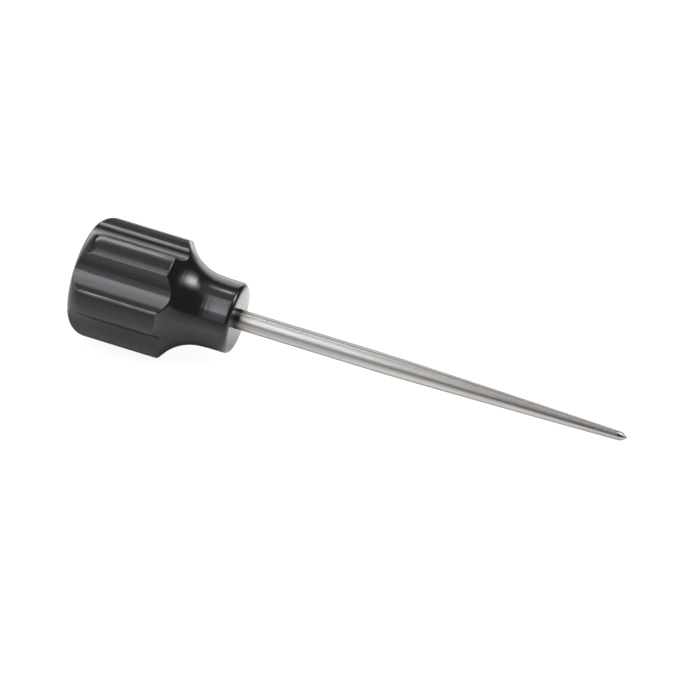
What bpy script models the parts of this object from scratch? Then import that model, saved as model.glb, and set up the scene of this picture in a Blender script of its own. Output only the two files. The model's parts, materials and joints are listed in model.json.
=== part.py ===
"""Carpet awl: a stubby fluted plastic handle with a tapered steel blade pressed into it.

Both pieces are modelled along +Z of an empty, with the nose face of the handle at z = 0, the point at +Z and
the butt at -Z. The empty then lays the awl on the ground as it rests on a bench, on two handle lands and the
point, with the point towards +X. Metres.
"""

import math

import bmesh
import bpy
from mathutils import Vector

MM = 0.001

# Handle, turned from fluted bar
BARREL_RADIUS = 14.5 * MM
BARREL_LENGTH = 17.9 * MM  # straight stretch, between the shoulder round and the butt round
SHOULDER_ROUND = 0.3 * MM
FLARE_SLOPE = math.radians(62.0)  # at its steepest, where it meets the shoulder
FLARE_FILLET = 11.6 * MM
NOSE_RADIUS = 8.7 * MM
NOSE_LENGTH = 6.2 * MM  # from the nose face to where the flare begins
NOSE_RIM_ROUND = 1.1 * MM
BUTT_EDGE_ROUND = 4.7 * MM
BUTT_DOME_RADIUS = 36.0 * MM
FLUTE_COUNT = 6
FLUTE_DEPTH = 2.5 * MM
FLUTE_RADIUS = 6.7 * MM

# Blade, ground from round bar
SHANK_RADIUS = 2.38 * MM
BLADE_LENGTH = 97.0 * MM  # from the nose face to the tip
TAPER_START = 39.7 * MM  # where the lines of the shank and of the taper would cross
TAPER_BLEND = 12.0 * MM  # length of the soft change from one to the other
POINT_LENGTH = 1.8 * MM
POINT_BASE_RADIUS = 1.06 * MM
POINT_BULGE = 0.09 * MM  # how far the point's side swells out from a plain cone
TANG_LENGTH = 28.0 * MM
TANG_CHAMFER = 0.8 * MM

# Wings coined on the tang, which key it in the handle
WING_HEIGHT = 1.4 * MM  # how far each wing stands out from the tang
WING_LENGTH = 6.2 * MM  # straight stretch, between the ramps at its ends
WING_THICKNESS = 1.2 * MM
WING_SETBACK = 6.6 * MM  # from the end of the tang to the wings

# Fits
FIT_CLEARANCE = 0.2 * MM  # between the tang and the handle, on every side
TANG_END_GAP = 0.3 * MM
DRILL_POINT_ANGLE = math.radians(118.0)
CUT_OVERRUN = 5.0 * MM  # how far a cutter stands clear of what it cuts

# Finishes
PLASTIC_COLOUR = (0.012, 0.012, 0.013)
PLASTIC_ROUGHNESS = 0.16
STEEL_COLOUR = (0.62, 0.6, 0.57)
STEEL_ROUGHNESS = 0.28

# Facets
HANDLE_STEPS = 72
BLADE_STEPS = 36
FLUTE_STEPS = 72
RIM_STEPS = 4
FILLET_STEPS = 8
SHOULDER_STEPS = 3
BUTT_STEPS = 6
DOME_STEPS = 4
POINT_STEPS = 4
BLEND_STEPS = 4
SAME_POINT = 0.001 * MM

# Search for the angle at which the awl lies on the ground
STEEPEST_TILT = math.radians(45.0)
TILT_HALVINGS = 60


def clear_scene():
    for obj in list(bpy.data.objects):
        bpy.data.objects.remove(obj, do_unlink=True)


def new_collection(name):
    collection = bpy.data.collections.new(name)
    bpy.context.scene.collection.children.link(collection)
    return collection


def new_material(name, colour, roughness, metallic):
    material = bpy.data.materials.new(name)
    material.use_nodes = True
    shader = material.node_tree.nodes["Principled BSDF"]
    shader.inputs["Base Color"].default_value = (*colour, 1.0)
    shader.inputs["Roughness"].default_value = roughness
    shader.inputs["Metallic"].default_value = metallic
    material.diffuse_color = (*colour, 1.0)
    return material


def arc(centre_radius, centre_z, radius, start, end, steps):
    """Points on a circle in the profile plane. Angle 0 faces away from the axis, 90 degrees faces +Z."""
    points = []
    for step in range(steps + 1):
        angle = start + (end - start) * step / steps
        points.append((centre_radius + radius * math.cos(angle), centre_z + radius * math.sin(angle)))
    return points


def without_repeats(points):
    kept = [points[0]]
    for point in points[1:]:
        if math.dist(point, kept[-1]) > SAME_POINT:
            kept.append(point)
    return kept


def handle_profile():
    """The turned outline of the handle as (radius, z), from the middle of the nose face down to the butt."""
    quarter = math.pi / 2
    step_up = BARREL_RADIUS - NOSE_RADIUS
    rounds = SHOULDER_ROUND + FLARE_FILLET
    slope = min(FLARE_SLOPE, math.acos(1 - step_up / rounds))
    cone_rise = step_up - rounds * (1 - math.cos(slope))
    flare_end = -NOSE_LENGTH - rounds * math.sin(slope) - cone_rise / math.tan(slope)
    barrel_end = flare_end - BARREL_LENGTH
    dome_edge = math.acos((BARREL_RADIUS - BUTT_EDGE_ROUND) / (BUTT_DOME_RADIUS - BUTT_EDGE_ROUND))
    dome_centre = barrel_end + (BUTT_DOME_RADIUS - BUTT_EDGE_ROUND) * math.sin(dome_edge)
    points = [(0.0, 0.0)]
    rim = NOSE_RADIUS - NOSE_RIM_ROUND
    hollow = NOSE_RADIUS + FLARE_FILLET
    shoulder = BARREL_RADIUS - SHOULDER_ROUND
    butt_edge = BARREL_RADIUS - BUTT_EDGE_ROUND
    points += arc(rim, -NOSE_RIM_ROUND, NOSE_RIM_ROUND, quarter, 0.0, RIM_STEPS)
    points += arc(hollow, -NOSE_LENGTH, FLARE_FILLET, math.pi, math.pi + slope, FILLET_STEPS)
    points += arc(shoulder, flare_end, SHOULDER_ROUND, slope, 0.0, SHOULDER_STEPS)
    points += arc(butt_edge, barrel_end, BUTT_EDGE_ROUND, 0.0, -dome_edge, BUTT_STEPS)
    points += arc(0.0, dome_centre, BUTT_DOME_RADIUS, -dome_edge, -quarter, DOME_STEPS)
    points[-1] = (0.0, dome_centre - BUTT_DOME_RADIUS)  # exactly on the axis
    return without_repeats(points)


def blade_profile():
    """The outline of the blade as (radius, z), from the tip down to the end of the tang."""
    point_base = BLADE_LENGTH - POINT_LENGTH
    fall = (SHANK_RADIUS - POINT_BASE_RADIUS) / (point_base - TAPER_START)
    points = []
    for step in range(POINT_STEPS + 1):
        share = step / POINT_STEPS
        bulge = POINT_BULGE * 4 * share * (1 - share)  # a shallow parabola, highest half way
        points.append((POINT_BASE_RADIUS * share + bulge, BLADE_LENGTH - POINT_LENGTH * share))
    blend_start = TAPER_START - TAPER_BLEND / 2
    for step in range(BLEND_STEPS + 1):
        along = TAPER_BLEND * (1 - step / BLEND_STEPS)
        drop = fall * along**2 / (2 * TAPER_BLEND)
        points.append((SHANK_RADIUS - drop, blend_start + along))
    points.append((SHANK_RADIUS, TANG_CHAMFER - TANG_LENGTH))
    points.append((SHANK_RADIUS - TANG_CHAMFER, -TANG_LENGTH))
    points.append((0.0, -TANG_LENGTH))
    return without_repeats(points)


def bore_profile():
    """The outline of the blind hole for the tang, from above the nose face down to its drill point."""
    bore_radius = SHANK_RADIUS + FIT_CLEARANCE
    floor = -TANG_LENGTH - TANG_END_GAP
    drill_point = bore_radius / math.tan(DRILL_POINT_ANGLE / 2)
    return [(0.0, CUT_OVERRUN), (bore_radius, CUT_OVERRUN), (bore_radius, floor), (0.0, floor - drill_point)]


def turned(name, profile, steps, collection):
    """A solid of revolution about Z from a profile that runs down its outer side."""
    points = [(radius, 0.0, z) for radius, z in profile]
    edges = [(index, index + 1) for index in range(len(profile) - 1)]
    mesh = bpy.data.meshes.new(name)
    mesh.from_pydata(points, edges, [])
    obj = bpy.data.objects.new(name, mesh)
    collection.objects.link(obj)
    screw = obj.modifiers.new("Turn", "SCREW")
    screw.axis = "Z"
    screw.steps = steps
    screw.render_steps = steps
    screw.use_merge_vertices = True
    screw.merge_threshold = SAME_POINT
    screw.use_smooth_shade = True
    return obj


def wing_plate(name, margin, collection):
    """The flat winged plate across the tang, with ramped ends, grown on every side by a margin."""
    root = SHANK_RADIUS
    span = SHANK_RADIUS + WING_HEIGHT + margin
    straight = WING_LENGTH / 2
    end = WING_LENGTH / 2 + WING_HEIGHT + margin
    middle = WING_SETBACK + WING_HEIGHT + WING_LENGTH / 2 - TANG_LENGTH
    corners = [(span, straight), (root, end), (-root, end), (-span, straight)]
    corners += [(-across, -along) for across, along in corners]
    outline = bpy.data.curves.new(name + "_outline", "CURVE")
    outline.dimensions = "2D"
    outline.fill_mode = "BOTH"
    outline.extrude = WING_THICKNESS / 2 + margin
    spline = outline.splines.new("POLY")
    spline.points.add(len(corners) - 1)
    for point, (across, along) in zip(spline.points, corners):
        point.co = (across, along, 0.0, 1.0)
    spline.use_cyclic_u = True
    flat = bpy.data.objects.new(name + "_outline", outline)
    collection.objects.link(flat)
    flat.rotation_euler = (math.pi / 2, 0.0, 0.0)
    flat.location = (0.0, 0.0, middle)
    bpy.context.view_layer.update()
    graph = bpy.context.evaluated_depsgraph_get()
    mesh = bpy.data.meshes.new_from_object(flat.evaluated_get(graph))
    solid = bmesh.new()
    solid.from_mesh(mesh)
    bmesh.ops.remove_doubles(solid, verts=solid.verts, dist=SAME_POINT)
    bmesh.ops.recalc_face_normals(solid, faces=solid.faces)
    solid.to_mesh(mesh)
    solid.free()
    plate = bpy.data.objects.new(name, mesh)
    collection.objects.link(plate)
    plate.matrix_world = flat.matrix_world
    bpy.data.objects.remove(flat, do_unlink=True)
    return plate


def as_cutter(obj, parent):
    obj.parent = parent
    obj.hide_render = True
    obj.display_type = "WIRE"


def combine(obj, other, operation):
    boolean = obj.modifiers.new(other.name, "BOOLEAN")
    boolean.operation = operation
    boolean.solver = "EXACT"
    boolean.object = other


def flute_centre():
    """How far from the handle's axis each flute's round has its centre."""
    return BARREL_RADIUS - FLUTE_DEPTH + FLUTE_RADIUS


def make_handle(profile, material, pose, parts, cutters):
    handle = turned("handle", profile, HANDLE_STEPS, parts)
    handle.parent = pose
    handle.data.materials.append(material)
    butt = profile[-1][1]
    length = CUT_OVERRUN - butt + CUT_OVERRUN
    for index in range(FLUTE_COUNT):
        bpy.ops.mesh.primitive_cylinder_add(vertices=FLUTE_STEPS, radius=FLUTE_RADIUS, depth=length)
        flute = bpy.context.object
        flute.name = f"flute_cutter_{index + 1}"
        for holder in list(flute.users_collection):
            holder.objects.unlink(flute)
        cutters.objects.link(flute)
        angle = 2 * math.pi * index / FLUTE_COUNT
        flute.location = (flute_centre() * math.cos(angle), flute_centre() * math.sin(angle), butt / 2)
        flute.rotation_euler = (0.0, 0.0, angle)
        as_cutter(flute, pose)
        combine(handle, flute, "DIFFERENCE")
    bore = turned("bore_cutter", bore_profile(), BLADE_STEPS, cutters)
    pocket = wing_plate("wing_pocket_cutter", FIT_CLEARANCE, cutters)
    for cutter in (bore, pocket):
        as_cutter(cutter, pose)
        combine(handle, cutter, "DIFFERENCE")
    return handle


def make_blade(profile, material, pose, parts, cutters):
    blade = turned("blade", profile, BLADE_STEPS, parts)
    blade.parent = pose
    blade.data.materials.append(material)
    wings = wing_plate("wing_stock", 0.0, cutters)
    as_cutter(wings, pose)
    combine(blade, wings, "UNION")
    return blade


def underside(radius):
    """How far below the axis a turned ring of this radius reaches, with a flute facing straight down."""
    centre = flute_centre()
    if radius < centre - FLUTE_RADIUS:
        return radius
    return (centre**2 + radius**2 - FLUTE_RADIUS**2) / (2 * centre)


def lay_down(pose, handle_outline, blade_outline):
    """Tilts the awl until handle and blade both touch the ground, with the origin below its middle."""
    handle_low = [(z, underside(radius)) for radius, z in handle_outline]
    blade_low = [(z, radius) for radius, z in blade_outline]

    def reach(points, tilt):
        return max(z * math.sin(tilt) + low * math.cos(tilt) for z, low in points)

    level = 0.0
    steep = STEEPEST_TILT
    for _ in range(TILT_HALVINGS):
        tilt = (level + steep) / 2
        if reach(blade_low, tilt) < reach(handle_low, tilt):
            level = tilt
        else:
            steep = tilt
    butt = handle_outline[-1][1]
    tip_x = BLADE_LENGTH * math.cos(tilt)
    butt_x = (butt + BUTT_DOME_RADIUS) * math.cos(tilt) - BUTT_DOME_RADIUS
    pose.rotation_euler = (0.0, math.pi / 2 + tilt, 0.0)
    pose.location = Vector((-(tip_x + butt_x) / 2, 0.0, reach(handle_low, tilt)))


def main():
    clear_scene()
    parts = new_collection("carpet_awl")
    cutters = new_collection("cutters")
    pose = bpy.data.objects.new("resting_pose", None)
    parts.objects.link(pose)
    plastic = new_material("black_plastic", PLASTIC_COLOUR, PLASTIC_ROUGHNESS, 0.0)
    steel = new_material("ground_steel", STEEL_COLOUR, STEEL_ROUGHNESS, 1.0)
    handle_outline = handle_profile()
    blade_outline = blade_profile()
    handle = make_handle(handle_outline, plastic, pose, parts, cutters)
    blade = make_blade(blade_outline, steel, pose, parts, cutters)
    for obj in (handle, blade):
        obj.modifiers.new("Even shading", "WEIGHTED_NORMAL")
    lay_down(pose, handle_outline, blade_outline)


main()
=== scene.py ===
import json
import math

import bmesh
import bpy
from mathutils import Matrix, Vector


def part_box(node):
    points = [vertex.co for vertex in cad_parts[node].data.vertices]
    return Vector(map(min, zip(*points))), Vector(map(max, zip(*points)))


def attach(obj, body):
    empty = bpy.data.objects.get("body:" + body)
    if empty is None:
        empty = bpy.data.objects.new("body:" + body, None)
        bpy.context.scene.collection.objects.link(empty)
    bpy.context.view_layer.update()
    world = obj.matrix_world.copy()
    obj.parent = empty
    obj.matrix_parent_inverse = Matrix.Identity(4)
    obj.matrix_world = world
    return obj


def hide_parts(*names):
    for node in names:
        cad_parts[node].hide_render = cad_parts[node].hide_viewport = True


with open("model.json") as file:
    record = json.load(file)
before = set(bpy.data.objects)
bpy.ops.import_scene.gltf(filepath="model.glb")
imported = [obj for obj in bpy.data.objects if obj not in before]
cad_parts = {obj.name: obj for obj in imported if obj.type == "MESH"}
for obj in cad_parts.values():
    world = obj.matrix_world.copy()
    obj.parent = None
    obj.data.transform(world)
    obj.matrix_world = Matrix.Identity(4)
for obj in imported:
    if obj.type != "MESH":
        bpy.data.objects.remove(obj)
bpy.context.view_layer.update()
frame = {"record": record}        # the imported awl: nodes handle and blade, on one body, root
mm = 0.001


# How the awl lies. The nose face mount gives the blade's line, and a point on the face above it
lie = {"mount": "nose_face", "mountAboveAxis": 5.6 * mm, "body": "root"}
noseMount = next(m for m in frame["record"]["mounts"] if m["name"] == lie["mount"])
pointward = Vector(noseMount["axis"]).normalized()        # along the blade, towards the point
sideways = Vector((0.0, 1.0, 0.0))
upward = pointward.cross(sideways).normalized()
if upward.z < 0:
    upward.negate()
noseCentre = Vector(noseMount["pos_m"]) - upward * lie["mountAboveAxis"]
poseTurn = Matrix((-upward, sideways, pointward)).transposed()        # local X down, Z to the point
pose = Matrix.Translation(noseCentre) @ poseTurn.to_4x4()
print("nose face centre", [round(x, 5) for x in noseCentre])


# Modelling by hand, in edit mode, on the tool's own axis
bench = {
    "dot": 1 * mm, "mergeWithin": 0.0005 * mm, "smoothUnder": math.radians(30),
    "facing": 0.9,        # cosine above which a face counts as facing along the tool
}


def deselectAll():
    if bpy.context.mode != "OBJECT":
        bpy.ops.object.mode_set(mode="OBJECT")
    bpy.ops.object.select_all(action="DESELECT")


def startOutline(name, radius, height):        # a plane pulled together to one point
    deselectAll()
    bpy.ops.mesh.primitive_plane_add(size=bench["dot"])
    piece = bpy.context.object
    piece.name = name
    piece.data.name = name
    bpy.ops.object.mode_set(mode="EDIT")
    bpy.ops.mesh.select_all(action="SELECT")
    bpy.ops.mesh.merge(type="CENTER")
    bpy.ops.transform.translate(value=(radius, 0.0, height))
    return piece


def lineOn(outward, along, steps=1):        # draws the outline on in a straight line
    move = {"value": (outward / steps, 0.0, along / steps)}
    for _ in range(steps):
        bpy.ops.mesh.extrude_region_move(TRANSFORM_OT_translate=move)


def arcOn(centreRadius, centreHeight, turn, steps):        # draws the outline on round a centre
    centre = (centreRadius, 0.0, centreHeight)
    bpy.ops.mesh.spin(steps=steps, angle=-turn, center=centre, axis=(0.0, 1.0, 0.0))


def spinOutline(sweeps):        # turns the outline about the tool's axis, sweep by sweep
    bpy.ops.mesh.select_all(action="SELECT")
    for turn, steps in sweeps:
        bpy.ops.mesh.spin(steps=steps, angle=turn, center=(0.0, 0.0, 0.0), axis=(0.0, 0.0, 1.0))
    bpy.ops.mesh.select_all(action="SELECT")
    bpy.ops.mesh.remove_doubles(threshold=bench["mergeWithin"])
    bpy.ops.mesh.normals_make_consistent(inside=False)
    bpy.ops.object.mode_set(mode="OBJECT")


def applyBoolean(piece, tool, operation):
    deselectAll()
    piece.select_set(True)
    bpy.context.view_layer.objects.active = piece
    cut = piece.modifiers.new(operation.lower(), "BOOLEAN")
    cut.operation = operation
    cut.solver = "EXACT"
    cut.object = tool
    bpy.ops.object.modifier_apply(modifier=cut.name)
    bpy.data.objects.remove(tool, do_unlink=True)


def layDown(piece):        # puts the finished piece where the CAD has it
    deselectAll()
    piece.select_set(True)
    bpy.context.view_layer.objects.active = piece
    piece.matrix_world = pose
    bpy.ops.object.transform_apply(location=True, rotation=True, scale=True)
    bpy.ops.object.shade_smooth_by_angle(angle=bench["smoothUnder"])


# Wings coined on the tang, and the pocket they press into the plastic
wings = {"height": 1.4 * mm, "length": 6.2 * mm, "thickness": 1.2 * mm, "setback": 6.6 * mm}


def wingPlate(name, shankRadius, tangLength, margin):
    deselectAll()
    bpy.ops.mesh.primitive_cube_add(size=1.0)
    plate = bpy.context.object
    plate.name = name
    reach = shankRadius + wings["height"] + margin
    middle = wings["setback"] + wings["height"] + wings["length"] / 2 - tangLength
    bpy.ops.object.mode_set(mode="EDIT")
    bpy.ops.mesh.select_all(action="SELECT")
    bpy.ops.transform.resize(value=(2 * reach, wings["thickness"] + 2 * margin, wings["length"]))
    rampLength = wings["height"] + margin
    for end in (1, -1):        # each end is drawn out to a ramp that dies into the tang
        bpy.ops.mesh.select_all(action="DESELECT")
        grid = bmesh.from_edit_mesh(plate.data)
        for face in grid.faces:
            face.select_set(face.normal.z * end > bench["facing"])
        grid.select_flush_mode()
        bmesh.update_edit_mesh(plate.data)
        bpy.ops.mesh.extrude_region_move(TRANSFORM_OT_translate={"value": (0.0, 0.0, end * rampLength)})
        bpy.ops.transform.resize(value=(shankRadius / reach, 1.0, 1.0))
    bpy.ops.mesh.select_all(action="SELECT")
    bpy.ops.transform.translate(value=(0.0, 0.0, middle))
    bpy.ops.mesh.normals_make_consistent(inside=False)
    bpy.ops.object.mode_set(mode="OBJECT")
    return plate


# Blade: parallel shank, long fine taper, short stout point, tang out of sight in the handle
blade = {
    "shankRadius": 2.38 * mm, "length": 97.0 * mm, "taperStart": 39.7 * mm, "taperBlend": 12.0 * mm,
    "pointLength": 1.8 * mm, "pointBase": 1.06 * mm, "pointBulge": 0.05 * mm, "tipBlunt": 0.24 * mm,
    "taperSwell": 0.06 * mm, "tangLength": 28.0 * mm, "tangChamfer": 0.8 * mm,
    "pointRows": 12, "bluntRows": 3, "taperRows": 40, "blendRows": 12, "shankRows": 40, "columns": 96,
}


def mapRound(piece):        # a UV map with U along the tool and V round it, for the steel's drawn-out gloss
    layer = piece.data.uv_layers.new(name="round")
    for face in piece.data.polygons:
        middle = math.atan2(face.center.y, face.center.x)
        for corner in face.loop_indices:
            place = piece.data.vertices[piece.data.loops[corner].vertex_index].co
            turn = math.atan2(place.y, place.x)
            turn -= round((turn - middle) / (2 * math.pi)) * 2 * math.pi
            layer.data[corner].uv = (place.z / blade["length"], turn / (2 * math.pi))


def makeBlade():
    pointStart = blade["length"] - blade["pointLength"]
    fall = (blade["shankRadius"] - blade["pointBase"]) / (pointStart - blade["taperStart"])
    piece = startOutline("awl_blade", 0.0, blade["length"] - blade["tipBlunt"])
    rows = blade["pointRows"]
    for row in range(rows):        # the point's side swells a little, and its very tip is dulled
        swell = 4 * blade["pointBulge"] * (rows - 1 - 2 * row) / rows**2
        dulled = blade["tipBlunt"] / blade["bluntRows"] if row < blade["bluntRows"] else 0.0
        lineOn(blade["pointBase"] / rows + swell, dulled - blade["pointLength"] / rows)
    blendTop = blade["taperStart"] + blade["taperBlend"] / 2
    taperLength = pointStart - blendTop
    rows = blade["taperRows"]
    for row in range(rows):        # the taper swells a hair in its middle
        swell = 4 * blade["taperSwell"] * (rows - 1 - 2 * row) / rows**2
        lineOn(fall * taperLength / rows + swell, -taperLength / rows)
    rows = blade["blendRows"]
    for row in range(rows):        # the taper eases into the shank
        share = 1 - (row + 0.5) / rows
        lineOn(fall * share * blade["taperBlend"] / rows, -blade["taperBlend"] / rows)
    shankLeft = blendTop - blade["taperBlend"] + blade["tangLength"] - blade["tangChamfer"]
    lineOn(0.0, -shankLeft, blade["shankRows"])
    lineOn(-blade["tangChamfer"], -blade["tangChamfer"])
    lineOn(blade["tangChamfer"] - blade["shankRadius"], 0.0)
    spinOutline([(2 * math.pi, blade["columns"])])
    applyBoolean(piece, wingPlate("wing_stock", blade["shankRadius"], blade["tangLength"], 0.0), "UNION")
    mapRound(piece)
    layDown(piece)
    print("blade:", len(piece.data.polygons), "faces")
    return piece


# Handle: fluted bar, turned at both ends
handleLow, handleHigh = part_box("handle")
handle = {
    "barrelRadius": (handleHigh.y - handleLow.y) / 2, "barrelLength": 17.9 * mm, "shoulderRound": 0.3 * mm,
    "flareFillet": 11.6 * mm, "noseRadius": 8.73 * mm, "noseLength": 6.2 * mm, "rimRound": 1.0 * mm,
    "easeRadius": 50.0 * mm, "easeTurn": math.radians(4.4),        # how the nose eases into the flare
    "buttRound": 4.7 * mm, "domeRadius": 36.0 * mm,
    "flutes": 6, "fluteDepth": 2.56 * mm, "fluteRadius": 7.1 * mm,
    "lipRound": 0.26 * mm, "lipBand": math.radians(1.3), "lipSpread": 3,        # the lip mark, in rounds
    "skinWithin": 0.01 * mm,        # this near the barrel's radius, the bar keeps its own skin
    "boreGap": 0.04 * mm, "boreChamfer": 0.12 * mm, "boreEndGap": 0.3 * mm, "drillPoint": math.radians(118),
    "pocketGap": 0.1 * mm,
    "rows": {
        "bore": 4, "face": 4, "rim": 8, "nose": 2, "ease": 8, "flare": 16, "runOut": 36, "shoulder": 5,
        "barrel": 4, "butt": 44, "dome": 14,
    },
    "closerFrom": math.radians(4),        # how far before the flutes run out the rows of the flare get closer
    "columns": {"halfFlute": 22, "lip": 12, "land": 8},
}


def fluteCentre():        # how far from the axis a flute's own centre is
    return handle["barrelRadius"] - handle["fluteDepth"] + handle["fluteRadius"]


def fluteReach(turn):        # how far from the axis the nearest flute's floor is, in this direction
    pitch = 2 * math.pi / handle["flutes"]
    offset = (turn + pitch / 2) % pitch - pitch / 2
    centre = fluteCentre()
    inside = handle["fluteRadius"] ** 2 - (centre * math.sin(offset)) ** 2
    if inside <= 0:
        return 2 * handle["barrelRadius"]
    return centre * math.cos(offset) - math.sqrt(inside)


def lipTurn():        # the angle from a flute's middle to its lip
    centre = fluteCentre()
    top = centre**2 + handle["barrelRadius"] ** 2 - handle["fluteRadius"] ** 2
    return math.acos(top / (2 * centre * handle["barrelRadius"]))


def pressFlutes(piece):        # sinks the flutes into the blank, and marks their lips and the bar's own skin
    lip = piece.data.attributes.new("lip", "FLOAT", "POINT")
    bar = piece.data.attributes.new("barSkin", "FLOAT", "POINT")
    soft = handle["lipRound"]
    for vertex, lipMark, barMark in zip(piece.data.vertices, lip.data, bar.data):
        turned = math.hypot(vertex.co.x, vertex.co.y)
        if turned < handle["noseRadius"]:
            continue
        floor = fluteReach(math.atan2(vertex.co.y, vertex.co.x))
        gap = turned - floor
        near = max(soft - abs(gap), 0.0) / soft
        radius = min(turned, floor) - near**2 * soft / 4
        vertex.co.x *= radius / turned
        vertex.co.y *= radius / turned
        lipMark.value = math.exp(-((gap / (handle["lipSpread"] * soft)) ** 2))
        onBarrel = turned > handle["barrelRadius"] - handle["skinWithin"]
        barMark.value = 1.0 if onBarrel or gap > 0 else 0.0


def makeHandle():
    bore = blade["shankRadius"] + handle["boreGap"]
    chamfer = handle["boreChamfer"]
    boreFloor = -blade["tangLength"] - handle["boreEndGap"]
    drillDeep = bore / math.tan(handle["drillPoint"] / 2)
    hollow = handle["noseRadius"] + handle["flareFillet"]        # how far out the flare's centre is
    stepUp = handle["barrelRadius"] - handle["noseRadius"]
    rounds = handle["shoulderRound"] + handle["flareFillet"]
    slope = math.acos(1 - stepUp / rounds)
    fluteClear = hollow - handle["barrelRadius"] + handle["fluteDepth"]        # and off a flute's floor
    runOut = math.acos(fluteClear / handle["flareFillet"]) - handle["closerFrom"]
    flareEnd = -handle["noseLength"] - rounds * math.sin(slope)
    buttStart = flareEnd - handle["barrelLength"]
    domeReach = handle["domeRadius"] - handle["buttRound"]
    buttEdge = handle["barrelRadius"] - handle["buttRound"]
    domeEdge = math.acos(buttEdge / domeReach)
    domeCentre = buttStart + domeReach * math.sin(domeEdge)
    rim = handle["rimRound"]
    ease = handle["easeTurn"]
    gentler = handle["easeRadius"] - handle["flareFillet"]
    noseFront = handle["noseRadius"] - gentler * (1 - math.cos(ease))
    easeStart = gentler * math.sin(ease) - handle["noseLength"]
    rows, columns = handle["rows"], handle["columns"]
    piece = startOutline("awl_handle", 0.0, boreFloor - drillDeep)
    lineOn(bore, drillDeep)
    lineOn(0.0, -boreFloor - chamfer, rows["bore"])
    lineOn(chamfer, chamfer)
    lineOn(noseFront - rim - bore - chamfer, 0.0, rows["face"])
    arcOn(noseFront - rim, -rim, math.pi / 2, rows["rim"])
    lineOn(0.0, rim + easeStart, rows["nose"])
    arcOn(noseFront + handle["easeRadius"], easeStart, -ease, rows["ease"])
    arcOn(hollow, -handle["noseLength"], ease - runOut, rows["flare"])
    arcOn(hollow, -handle["noseLength"], runOut - slope, rows["runOut"])        # where the flutes run out
    arcOn(handle["barrelRadius"] - handle["shoulderRound"], flareEnd, slope, rows["shoulder"])
    lineOn(0.0, -handle["barrelLength"], rows["barrel"])
    arcOn(buttEdge, buttStart, domeEdge, rows["butt"])
    arcOn(0.0, domeCentre, math.pi / 2 - domeEdge, rows["dome"])
    lipAt = lipTurn()
    band = handle["lipBand"]
    halfFlute, lip = (lipAt - band, columns["halfFlute"]), (2 * band, columns["lip"])
    land = (2 * math.pi / handle["flutes"] - 2 * lipAt - 2 * band, columns["land"])
    spinOutline([halfFlute, lip, land, lip, halfFlute] * handle["flutes"])
    pressFlutes(piece)
    pocket = wingPlate("wing_pocket", blade["shankRadius"], blade["tangLength"], handle["pocketGap"])
    applyBoolean(piece, pocket, "DIFFERENCE")
    layDown(piece)
    print("handle:", len(piece.data.polygons), "faces")
    return piece


# Shader nodes
def newMaterial(name):
    material = bpy.data.materials.new(name)
    material.use_nodes = True
    nodes = material.node_tree.nodes
    return material, nodes, material.node_tree.links, nodes["Principled BSDF"]


def newGroup(name, amounts, output):        # takes a place and some amounts, puts out one level
    group = bpy.data.node_groups.new(name, "ShaderNodeTree")
    group.interface.new_socket(name="Place", in_out="INPUT", socket_type="NodeSocketVector")
    for amount in amounts:
        group.interface.new_socket(name=amount, in_out="INPUT", socket_type="NodeSocketFloat")
    group.interface.new_socket(name=output, in_out="OUTPUT", socket_type="NodeSocketFloat")
    start = group.nodes.new("NodeGroupInput")
    end = group.nodes.new("NodeGroupOutput")
    return group, group.nodes, group.links, start, end


def useGroup(nodes, links, group, place, values):
    node = nodes.new("ShaderNodeGroup")
    node.node_tree = group
    links.new(place, node.inputs["Place"])
    for socketName, value in values.items():
        node.inputs[socketName].default_value = value
    return node.outputs[0]


def feed(links, value, socket):        # a number or a colour is set, an output is linked
    if isinstance(value, (int, float, tuple)):
        socket.default_value = value
    else:
        links.new(value, socket)


def compute(nodes, links, operation, first, second, third=0.0):
    node = nodes.new("ShaderNodeMath")
    node.operation = operation
    for socket, value in zip(node.inputs, (first, second, third)):
        feed(links, value, socket)
    return node.outputs[0]


def blend(nodes, links, share, first, second, kind="FLOAT"):        # kind RGBA blends colours
    node = nodes.new("ShaderNodeMix")
    node.data_type = kind
    for socketName, value in (("Factor", share), ("A", first), ("B", second)):
        feed(links, value, node.inputs[socketName])
    return node.outputs["Result"]


def ramp(nodes, links, value, stops):        # stops are pairs of a place and a level from 0 to 1
    low, high = stops[0][0], stops[-1][0]
    reach = nodes.new("ShaderNodeMapRange")
    reach.inputs["From Min"].default_value = low
    reach.inputs["From Max"].default_value = high
    links.new(value, reach.inputs["Value"])
    scale = nodes.new("ShaderNodeValToRGB")
    elements = scale.color_ramp.elements
    for at, level in stops[1:-1]:
        elements.new((at - low) / (high - low)).color = (level, level, level, 1.0)
    for element, (_, level) in zip((elements[0], elements[-1]), (stops[0], stops[-1])):
        element.color = (level, level, level, 1.0)
    links.new(reach.outputs["Result"], scale.inputs["Fac"])
    return scale.outputs["Color"]


def toolPlace(nodes, links):        # Object coordinates turned onto the tool, Z along it from the nose face
    place = nodes.new("ShaderNodeTexCoord")
    turned = nodes.new("ShaderNodeMapping")
    turned.vector_type = "TEXTURE"
    turned.inputs["Location"].default_value = noseCentre
    turned.inputs["Rotation"].default_value = poseTurn.to_euler()
    links.new(place.outputs["Object"], turned.inputs["Vector"])
    return turned.outputs["Vector"]


def splitPlace(nodes, links, place):
    split = nodes.new("ShaderNodeSeparateXYZ")
    links.new(place, split.inputs[0])
    return split.outputs["X"], split.outputs["Y"], split.outputs["Z"]


def surfaceMark(nodes, name):        # a mark that the modelling left on the piece
    mark = nodes.new("ShaderNodeAttribute")
    mark.attribute_name = name
    return mark.outputs["Fac"]


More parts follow.
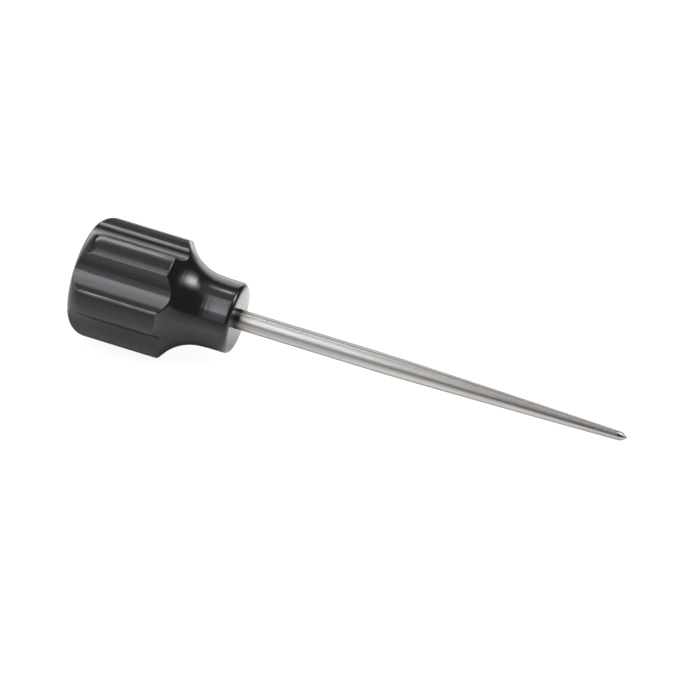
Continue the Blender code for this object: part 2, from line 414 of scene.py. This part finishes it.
def stretchedNoise(nodes, links, place, scales, detail):        # noise with a scale of its own on each axis
    scale = nodes.new("ShaderNodeCombineXYZ")
    for socket, value in zip(scale.inputs, scales):
        links.new(value, socket)
    stretched = nodes.new("ShaderNodeVectorMath")
    stretched.operation = "MULTIPLY"
    links.new(place, stretched.inputs[0])
    links.new(scale.outputs[0], stretched.inputs[1])
    noise = nodes.new("ShaderNodeTexNoise")
    noise.inputs["Scale"].default_value = 1.0
    noise.inputs["Detail"].default_value = detail
    links.new(stretched.outputs[0], noise.inputs["Vector"])
    return noise


def bumpOn(nodes, links, height, depth, under=None):        # relief, on top of another if there is one
    bump = nodes.new("ShaderNodeBump")
    bump.inputs["Strength"].default_value = 1.0
    bump.inputs["Distance"].default_value = depth
    links.new(height, bump.inputs["Height"])
    if under is not None:
        links.new(under.outputs["Normal"], bump.inputs["Normal"])
    return bump


# Finishes, each a node group that takes a place on the tool
finishes = {
    "lineDetail": 3.0, "lineRoughness": 0.6, "mottleDetail": 3.0,
    "hairSlants": ((0.5, 0.35, 0.0), (-0.3, -0.75, 0.4)), "hairDetail": 0.0,        # slants in radians
    "hairStops": ((0.76, 0.0), (0.84, 1.0)),        # only the peaks of the noise become hairs
}


def makeToolLines():        # fine lines left by a die or a wheel, along the tool or round it
    group, nodes, links, start, end = newGroup("tool_lines", ("Spacing", "Run", "Round"), "Lines")
    across = compute(nodes, links, "DIVIDE", 1.0, start.outputs["Spacing"])
    along = compute(nodes, links, "DIVIDE", 1.0, start.outputs["Run"])
    inPlane = blend(nodes, links, start.outputs["Round"], across, along)
    lengthwise = blend(nodes, links, start.outputs["Round"], along, across)
    scales = (inPlane, inPlane, lengthwise)
    noise = stretchedNoise(nodes, links, start.outputs["Place"], scales, finishes["lineDetail"])
    noise.inputs["Roughness"].default_value = finishes["lineRoughness"]
    links.new(noise.outputs["Fac"], end.inputs["Lines"])
    return group


def makeMottle():        # soft cloudy change, as handling leaves
    group, nodes, links, start, end = newGroup("soft_mottle", ("Size",), "Mottle")
    noise = nodes.new("ShaderNodeTexNoise")
    noise.inputs["Detail"].default_value = finishes["mottleDetail"]
    links.new(start.outputs["Place"], noise.inputs["Vector"])
    links.new(compute(nodes, links, "DIVIDE", 1.0, start.outputs["Size"]), noise.inputs["Scale"])
    links.new(noise.outputs["Fac"], end.inputs["Mottle"])
    return group


def makeHairlines():        # sparse hairline scratches in two slants
    group, nodes, links, start, end = newGroup("hairlines", ("Width", "Length"), "Hairlines")
    thin = compute(nodes, links, "DIVIDE", 1.0, start.outputs["Width"])
    long = compute(nodes, links, "DIVIDE", 1.0, start.outputs["Length"])
    layers = []
    for slant in finishes["hairSlants"]:
        turned = nodes.new("ShaderNodeVectorRotate")
        turned.rotation_type = "EULER_XYZ"
        turned.inputs["Rotation"].default_value = slant
        links.new(start.outputs["Place"], turned.inputs["Vector"])
        noise = stretchedNoise(nodes, links, turned.outputs[0], (thin, thin, long), finishes["hairDetail"])
        layers.append(ramp(nodes, links, noise.outputs["Fac"], finishes["hairStops"]))
    links.new(compute(nodes, links, "MAXIMUM", *layers), end.inputs["Hairlines"])
    return group


toolLines = makeToolLines()
softMottle = makeMottle()
hairlines = makeHairlines()
print("finishes:", toolLines.name, softMottle.name, hairlines.name)


# Black plastic: drawn streaks on the bar's own skin, turning lines where it was turned, a faced nose
plasticLook = {
    "colour": (0.0135, 0.0135, 0.0142, 1.0), "scuffed": (0.02, 0.02, 0.021, 1.0), "ior": 1.56,
    "roughness": 0.13, "mottled": 0.06, "scratched": 0.08, "lipPolish": 0.03, "faced": 0.05,
    "streaks": {"Spacing": 0.55 * mm, "Run": 30 * mm, "Round": 0.0},
    "turning": {"Spacing": 0.5 * mm, "Run": 12 * mm, "Round": 1.0},
    "mottle": {"Size": 5 * mm}, "hairs": {"Width": 0.12 * mm, "Length": 6 * mm},
    "relief": 0.03 * mm, "hairDepth": 0.0004 * mm,
    "turnedStops": ((-33 * mm, 0.2), (-28 * mm, 0.8)),        # the butt is polished smoother than the nose
    "faceStops": ((-0.35 * mm, 0.0), (-0.08 * mm, 1.0)),        # where the rim ends and the nose face begins
}


def blackPlastic():
    material, nodes, links, shader = newMaterial("black_plastic")
    place = toolPlace(nodes, links)
    x, y, z = splitPlace(nodes, links, place)
    squares = compute(nodes, links, "MULTIPLY_ADD", x, x, compute(nodes, links, "MULTIPLY", y, y))
    radius = compute(nodes, links, "SQRT", squares, 0.0)
    rings = nodes.new("ShaderNodeCombineXYZ")        # so that the lines go on as rings over the nose face
    for socket, value in zip(rings.inputs, (x, y, compute(nodes, links, "SUBTRACT", z, radius))):
        links.new(value, socket)
    bar = surfaceMark(nodes, "barSkin")
    turning = useGroup(nodes, links, toolLines, rings.outputs[0], plasticLook["turning"])
    streaks = useGroup(nodes, links, toolLines, place, plasticLook["streaks"])
    turnedShare = ramp(nodes, links, z, plasticLook["turnedStops"])
    lines = blend(nodes, links, bar, compute(nodes, links, "MULTIPLY", turning, turnedShare), streaks)
    mottle = useGroup(nodes, links, softMottle, place, plasticLook["mottle"])
    hairs = useGroup(nodes, links, hairlines, place, plasticLook["hairs"])
    faced = ramp(nodes, links, z, plasticLook["faceStops"])
    lip = surfaceMark(nodes, "lip")

    worn = compute(nodes, links, "MAXIMUM", hairs, faced)
    colour = blend(nodes, links, worn, plasticLook["colour"], plasticLook["scuffed"], "RGBA")
    links.new(colour, shader.inputs["Base Color"])

    plain = plasticLook["roughness"] - plasticLook["mottled"] / 2
    roughness = compute(nodes, links, "MULTIPLY_ADD", mottle, plasticLook["mottled"], plain)
    roughness = compute(nodes, links, "MULTIPLY_ADD", hairs, plasticLook["scratched"], roughness)
    roughness = compute(nodes, links, "MULTIPLY_ADD", faced, plasticLook["faced"], roughness)
    roughness = compute(nodes, links, "MULTIPLY_ADD", lip, -plasticLook["lipPolish"], roughness)
    links.new(roughness, shader.inputs["Roughness"])

    relief = bumpOn(nodes, links, lines, plasticLook["relief"])
    scratch = bumpOn(nodes, links, hairs, plasticLook["hairDepth"], relief)
    scratch.invert = True
    links.new(scratch.outputs["Normal"], shader.inputs["Normal"])
    shader.inputs["IOR"].default_value = plasticLook["ior"]
    return material


# Ground steel: fine lines round the blade, drawn streaks along it, and a painted reflection of the black nose
# face by the handle: warm and blotchy, darkest in a ring right by it
steelLook = {
    "colour": (0.468, 0.455, 0.44, 1.0), "edge": (0.13, 0.125, 0.12, 1.0),        # straight on, at a glance
    "roughness": 0.36, "mottled": 0.05, "lined": 0.05, "anisotropic": 0.3,
    "pointColour": (0.43, 0.408, 0.387, 1.0), "finer": 0.06,        # ground finer towards the point
    "finerStops": ((25 * mm, 0.0), (65 * mm, 1.0)),
    # painted reflection of the black nose face: darker and warmer, in blotches, for a few mm out of the
    # handle
    "paintedWarmReflection": (0.26, 0.20, 0.15, 1.0), "paintedWarmReflectionStops": ((1.2 * mm, 1.0), (4.5 * mm, 0.0)),
    "streak": (0.362, 0.352, 0.34, 1.0), "streakStops": ((0.5, 0.0), (0.7, 1.0)),
    # painted reflection of the black nose face: a dark ring right by the handle
    "paintedNoseReflection": (0.16, 0.142, 0.126, 1.0), "paintedNoseReflectionStops": ((0.6 * mm, 1.0), (1.1 * mm, 0.0)),
    "lines": {"Spacing": 0.35 * mm, "Run": 4 * mm, "Round": 1.0}, "relief": 0.0003 * mm,
    "drawn": {"Spacing": 0.6 * mm, "Run": 24 * mm, "Round": 0.0}, "drawnRelief": 0.03 * mm,
    "mottle": {"Size": 3.5 * mm},
}


def groundSteel():
    material, nodes, links, shader = newMaterial("ground_steel")
    place = toolPlace(nodes, links)
    z = splitPlace(nodes, links, place)[2]
    lines = useGroup(nodes, links, toolLines, place, steelLook["lines"])
    drawn = useGroup(nodes, links, toolLines, place, steelLook["drawn"])
    mottle = useGroup(nodes, links, softMottle, place, steelLook["mottle"])
    finer = ramp(nodes, links, z, steelLook["finerStops"])
    # painted reflection of the nose face: warm and blotchy near the handle
    warmReflectionShare = compute(nodes, links, "MULTIPLY", ramp(nodes, links, z, steelLook["paintedWarmReflectionStops"]), mottle)
    streaked = ramp(nodes, links, drawn, steelLook["streakStops"])
    # painted reflection of the nose face: a dark ring where the blade leaves the handle
    noseReflectionShare = ramp(nodes, links, z, steelLook["paintedNoseReflectionStops"])

    colour = steelLook["colour"]
    for share, tint in ((finer, "pointColour"), (warmReflectionShare, "paintedWarmReflection"), (streaked, "streak"), (noseReflectionShare, "paintedNoseReflection")):
        colour = blend(nodes, links, share, colour, steelLook[tint], "RGBA")
    links.new(colour, shader.inputs["Base Color"])

    plain = steelLook["roughness"] - (steelLook["mottled"] + steelLook["lined"]) / 2
    roughness = compute(nodes, links, "MULTIPLY_ADD", mottle, steelLook["mottled"], plain)
    roughness = compute(nodes, links, "MULTIPLY_ADD", lines, steelLook["lined"], roughness)
    roughness = compute(nodes, links, "MULTIPLY_ADD", finer, -steelLook["finer"], roughness)
    links.new(roughness, shader.inputs["Roughness"])

    relief = bumpOn(nodes, links, lines, steelLook["relief"])
    drawnRelief = bumpOn(nodes, links, drawn, steelLook["drawnRelief"], relief)
    links.new(drawnRelief.outputs["Normal"], shader.inputs["Normal"])
    across = nodes.new("ShaderNodeTangent")
    across.direction_type = "UV_MAP"
    across.uv_map = "round"
    links.new(across.outputs[0], shader.inputs["Tangent"])
    shader.inputs["Anisotropic"].default_value = steelLook["anisotropic"]
    shader.inputs["Specular Tint"].default_value = steelLook["edge"]
    shader.inputs["Metallic"].default_value = 1.0
    return material


# Floor: plain pale paper to the camera. Gloss sees it with painted light: a painted falloff, darker towards
# the front and right, and soft patches of painted shade and painted glow.
# A patch has its levels across the blade's line, by y, and then along it, by x
floorLook = {
    "size": 8.0, "seenGlow": 0.9, "seenColour": 0.25, "mirroredGlow": 2.9, "bladeGlow": 0.62, "shade": 0.68,
    # painted falloff of the light, as gloss sees the paper: darker towards the front, by y, and to the right,
    # by x
    "paper": (
        ((-90 * mm, 0.5), (-45 * mm, 0.68), (-22 * mm, 0.95)),
        ((45 * mm, 1.0), (75 * mm, 0.55), (110 * mm, 0.1), (160 * mm, 0.03)),        # painted falloff, darker to the right
    ),
    # painted shadow under the handle
    "underHandle": (
        ((-9 * mm, 0.0), (-3 * mm, 1.0), (9 * mm, 1.0), (15 * mm, 0.0)),
        ((-78 * mm, 0.0), (-68 * mm, 1.0), (-34 * mm, 1.0), (-28 * mm, 0.0)),
    ),
    # painted shade behind the blade
    "behindBlade": (
        ((4 * mm, 0.0), (10 * mm, 1.0), (40 * mm, 1.0), (60 * mm, 0.0)),
        ((-23 * mm, 0.0), (-16 * mm, 1.0)),
    ),
    # painted glow on the floor in front of the handle
    "beforeHandle": (
        ((-90 * mm, 0.0), (-60 * mm, 0.04), (-33 * mm, 0.06), (-25 * mm, 0.14), (-18 * mm, 0.08),
         (-14 * mm, 0.05), (-10 * mm, 0.0)),
        ((-110 * mm, 0.0), (-75 * mm, 1.0), (-36 * mm, 1.0), (-20 * mm, 0.5), (-8 * mm, 0.0)),
    ),
    # painted glow on the floor behind the nose
    "behindNose": (
        ((2 * mm, 0.0), (8 * mm, 0.09), (17 * mm, 0.27), (40 * mm, 0.58)),
        ((-35 * mm, 0.0), (-31 * mm, 1.0), (-22 * mm, 1.0), (-15 * mm, 0.0)),
    ),
    # painted glow on the floor beside the blade
    "besideBlade": (
        ((-16 * mm, 0.0), (-7 * mm, 1.0), (1 * mm, 1.0), (6 * mm, 0.0)),
        ((-33 * mm, 0.0), (-28 * mm, 1.0), (-18 * mm, 0.9), (5 * mm, 1.0), (60 * mm, 0.95)),
    ),
}


def makeFloor():
    deselectAll()
    bpy.ops.mesh.primitive_plane_add(size=floorLook["size"])
    floor = bpy.context.object
    floor.name = "floor"
    material = bpy.data.materials.new("white_floor")
    material.use_nodes = True
    nodes = material.node_tree.nodes
    links = material.node_tree.links
    nodes.clear()
    place = nodes.new("ShaderNodeTexCoord")
    x, y = splitPlace(nodes, links, place.outputs["Object"])[:2]

    def patch(name):
        levels = [ramp(nodes, links, value, stops) for value, stops in zip((y, x), floorLook[name])]
        return compute(nodes, links, "MULTIPLY", *levels)

    path = nodes.new("ShaderNodeLightPath")
    byCamera, byGloss = path.outputs["Is Camera Ray"], path.outputs["Is Glossy Ray"]
    # painted shade: the patches under the handle and behind the blade
    shade = compute(nodes, links, "ADD", patch("underHandle"), patch("behindBlade"))
    light = compute(nodes, links, "MULTIPLY_ADD", shade, -floorLook["shade"], 1.0)
    # the painted falloff, dimmed by the painted shade, is what gloss mirrors
    mirrored = compute(nodes, links, "MULTIPLY", patch("paper"), light)
    paper = nodes.new("ShaderNodeBsdfDiffuse")
    links.new(blend(nodes, links, byCamera, mirrored, floorLook["seenColour"]), paper.inputs["Color"])

    # painted glow: the floor lights up in these patches for gloss rays only
    lit = compute(nodes, links, "ADD", patch("beforeHandle"), patch("behindNose"))
    lit = compute(nodes, links, "MULTIPLY", lit, floorLook["mirroredGlow"])
    lit = compute(nodes, links, "MULTIPLY_ADD", patch("besideBlade"), floorLook["bladeGlow"], lit)
    seen = compute(nodes, links, "MULTIPLY", byCamera, floorLook["seenGlow"])
    glow = nodes.new("ShaderNodeEmission")
    links.new(compute(nodes, links, "MULTIPLY_ADD", lit, byGloss, seen), glow.inputs["Strength"])

    both = nodes.new("ShaderNodeAddShader")
    links.new(paper.outputs[0], both.inputs[0])
    links.new(glow.outputs[0], both.inputs[1])
    output = nodes.new("ShaderNodeOutputMaterial")
    links.new(both.outputs[0], output.inputs["Surface"])
    floor.data.materials.append(material)
    print("floor", floorLook["size"], "m wide")


# Panels of light. Rise turns up from the front about the blade's line, along turns from the nose face
# towards the point, both in degrees, each with the panel's level there
panels = {
    "softbox": {
        "distance": 0.35, "radiance": 4.3, "tint": (0.965, 1.0, 1.045),
        "rise": (
            (2, 0.15), (25, 0.27), (28, 0.32), (29.5, 1.0), (38, 0.97), (46, 0.84), (55, 0.68), (65, 0.58),
            (77, 0.4),
        ),
        "along": ((-60, 1.0), (-8.5, 1.0), (-6.0, 0.7)),
    },
    "strip_above": {
        "distance": 0.5, "radiance": 6.5, "tint": (1.0, 1.0, 1.0),
        "rise": ((101, 0.0), (103.5, 1.0), (109, 1.0), (111.5, 0.0)),
        "along": ((-40, 1.0), (-14, 1.0), (-11.5, 0.75), (-9, 0.4), (-4, 0.0)),
    },
    "side_light": {
        "distance": 0.6, "radiance": 12.0, "tint": (1.0, 1.0, 1.0),
        "rise": (
            (74, 0.0), (79, 0.08), (87, 0.36), (94, 0.85), (100, 1.0), (109, 0.65), (117, 0.2), (126, 0.06),
            (134, 0.0),
        ),
        "along": ((19, 0.7), (27, 0.9), (34, 1.0), (41, 0.55), (50, 0.15), (62, 0.0)),
    },
}
radianceToWatts = math.pi        # a square metre of area light needs this many watts for a radiance of 1


def shadePanel(data, sides):        # grades the panel's brightness along it and up it
    data.use_nodes = True
    nodes = data.node_tree.nodes
    links = data.node_tree.links
    surface = nodes.new("ShaderNodeNewGeometry")
    place = splitPlace(nodes, links, surface.outputs["Parametric"])
    levels = [ramp(nodes, links, value, stops) for value, stops in zip(place, sides)]
    links.new(compute(nodes, links, "MULTIPLY", *levels), nodes["Emission"].inputs["Strength"])


def makeLights():        # every panel stands parallel to the blade and faces it
    for name, panel in panels.items():
        middle = math.radians(panel["rise"][0][0] + panel["rise"][-1][0]) / 2
        distance = panel["distance"]
        up = [(distance * math.tan(math.radians(at) - middle), level) for at, level in panel["rise"]]
        along = [(distance * math.tan(math.radians(at)), level) for at, level in panel["along"]]
        data = bpy.data.lights.new(name, "AREA")
        data.shape = "RECTANGLE"
        data.size = along[-1][0] - along[0][0]
        data.size_y = up[-1][0] - up[0][0]
        data.energy = panel["radiance"] * radianceToWatts * data.size * data.size_y
        data.color = panel["tint"]
        sides = ((along, data.size), (up, data.size_y))
        shadePanel(data, [[((at - side[0][0]) / size, level) for at, level in side] for side, size in sides])
        light = bpy.data.objects.new(name, data)
        bpy.context.scene.collection.objects.link(light)
        away = -sideways * math.cos(middle) + upward * math.sin(middle)
        turn = Matrix((pointward, away.cross(pointward), away)).transposed()
        place = noseCentre + away * distance + pointward * (along[0][0] + along[-1][0]) / 2
        light.matrix_world = Matrix.Translation(place) @ turn.to_4x4()
        light.visible_camera = False
        light.visible_diffuse = False        # the even light of the studio does that
    print("lights:", ", ".join(panels))


# Studio round the floor: even light on everything, and soft patches of wall for gloss to mirror.
# Inner and outer are degrees from a wall's middle to where it starts to fade and where it ends
studio = {
    "even": 1.0, "dark": 0.03,
    "walls": {
        "backdrop": {"towards": (-0.42, 1.0, 0.14), "inner": 27, "outer": 45, "radiance": 2.0},
        "left_wall": {"towards": (-1.0, -0.1, 0.1), "inner": 25, "outer": 55, "radiance": 0.6},
        "ceiling": {"towards": (-0.1, 0.0, 1.0), "inner": 8, "outer": 40, "radiance": 0.5},
    },
}


def makeWorld():
    world = bpy.data.worlds.new("studio")
    bpy.context.scene.world = world
    world.use_nodes = True
    nodes = world.node_tree.nodes
    links = world.node_tree.links
    place = nodes.new("ShaderNodeTexCoord")
    total = studio["dark"]
    for wall in studio["walls"].values():
        facing = nodes.new("ShaderNodeVectorMath")
        facing.operation = "DOT_PRODUCT"
        facing.inputs[1].default_value = Vector(wall["towards"]).normalized()
        links.new(place.outputs["Generated"], facing.inputs[0])
        patch = nodes.new("ShaderNodeMapRange")
        patch.interpolation_type = "SMOOTHSTEP"
        patch.inputs["From Min"].default_value = math.cos(math.radians(wall["outer"]))
        patch.inputs["From Max"].default_value = math.cos(math.radians(wall["inner"]))
        patch.inputs["To Max"].default_value = wall["radiance"]
        links.new(facing.outputs["Value"], patch.inputs["Value"])
        total = compute(nodes, links, "ADD", patch.outputs["Result"], total)
    path = nodes.new("ShaderNodeLightPath")
    strength = blend(nodes, links, path.outputs["Is Glossy Ray"], studio["even"], total)
    links.new(strength, nodes["Background"].inputs["Strength"])
    nodes["Background"].inputs["Color"].default_value = (1.0, 1.0, 1.0, 1.0)
    print("studio:", ", ".join(studio["walls"]))


# Camera at the photograph's angle, a long lens from well back. In degrees, it is turned towards the point,
# rises above the awl's side, and sees the blade run down at a slant
view = {
    "alongTurn": 11.5, "rise": 30.5, "slant": 17.03, "lens": 400.0, "sensor": 36.0, "clipEnd": 50.0,
    "frame": 164.5 * mm, "pixels": 700, "nosePixel": (238.2, 318.95),        # where the nose face's centre is
}


def makeCamera():
    turnAlong, rise, slant = (math.radians(view[name]) for name in ("alongTurn", "rise", "slant"))
    across = -sideways * math.cos(rise) + upward * math.sin(rise)
    back = pointward * math.sin(turnAlong) + across * math.cos(turnAlong)
    bladeSeen = (pointward - back * pointward.dot(back)).normalized()
    besideSeen = back.cross(bladeSeen)
    right = bladeSeen * math.cos(slant) + besideSeen * math.sin(slant)
    up = besideSeen * math.cos(slant) - bladeSeen * math.sin(slant)
    pixel = view["frame"] / view["pixels"]
    half = view["pixels"] / 2
    noseX, noseY = view["nosePixel"]
    middle = noseCentre - right * (noseX - half) * pixel - up * (half - noseY) * pixel
    data = bpy.data.cameras.new("camera")
    data.sensor_width = view["sensor"]
    data.lens = view["lens"]
    data.clip_end = view["clipEnd"]
    distance = view["frame"] * view["lens"] / view["sensor"]
    camera = bpy.data.objects.new("camera", data)
    bpy.context.scene.collection.objects.link(camera)
    turn = Matrix((right, up, back)).transposed()
    camera.matrix_world = Matrix.Translation(middle + back * distance) @ turn.to_4x4()
    bpy.context.scene.camera = camera
    print("camera", round(distance, 3), "m away")


bladePiece = makeBlade()
bladePiece.data.materials.clear()
bladePiece.data.materials.append(groundSteel())
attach(bladePiece, lie["body"])
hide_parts("blade")

handlePiece = makeHandle()
handlePiece.data.materials.clear()
handlePiece.data.materials.append(blackPlastic())
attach(handlePiece, lie["body"])
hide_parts("handle")

makeFloor()
makeLights()
makeWorld()
makeCamera()
bpy.context.scene.view_settings.view_transform = "Standard"
